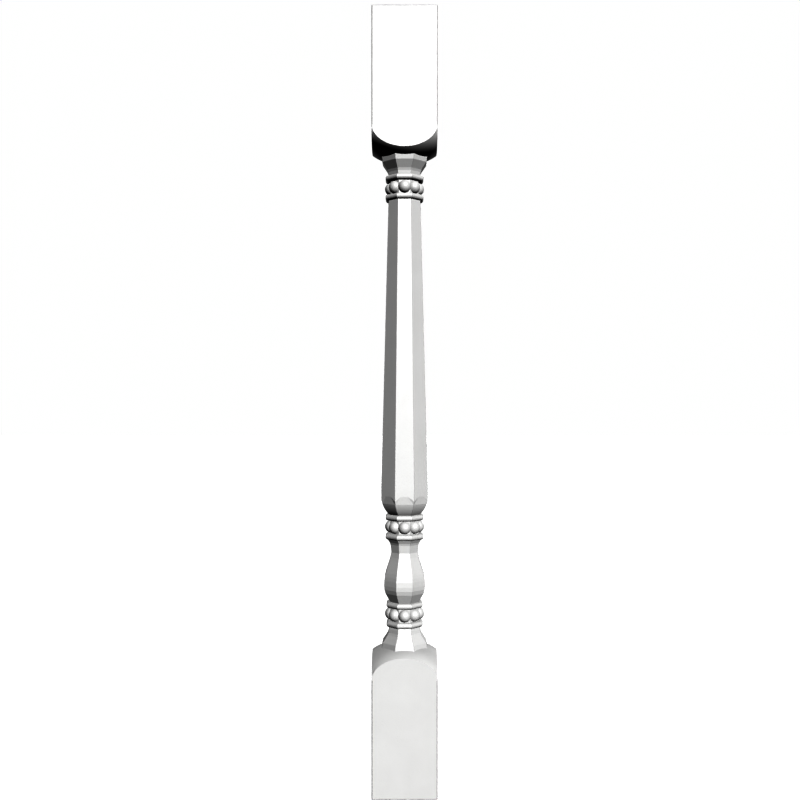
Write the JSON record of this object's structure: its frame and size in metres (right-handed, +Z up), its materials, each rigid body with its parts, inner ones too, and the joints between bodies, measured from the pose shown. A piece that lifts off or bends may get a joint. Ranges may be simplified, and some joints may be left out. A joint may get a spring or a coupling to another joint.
{
  "type": "stone baluster",
  "caption": "Slender stone baluster: square head and foot blocks with turned shoulders, a tapering octagonal shaft, an octagonal vase and beaded bands. Stands on its foot between rail and kerb.",
  "frame": {"origin": "centre of the underside of the foot block", "axes": "+Z up along the baluster's axis; X and Y square to the faces of the blocks, a flat of the octagon facing each"},
  "size_m": [0.075, 0.075, 0.904],
  "materials": {
    "pale stone": "honed"
  },
  "bodies": {
    "root": {"baluster": "pale stone"}
  },
  "joints": []
}
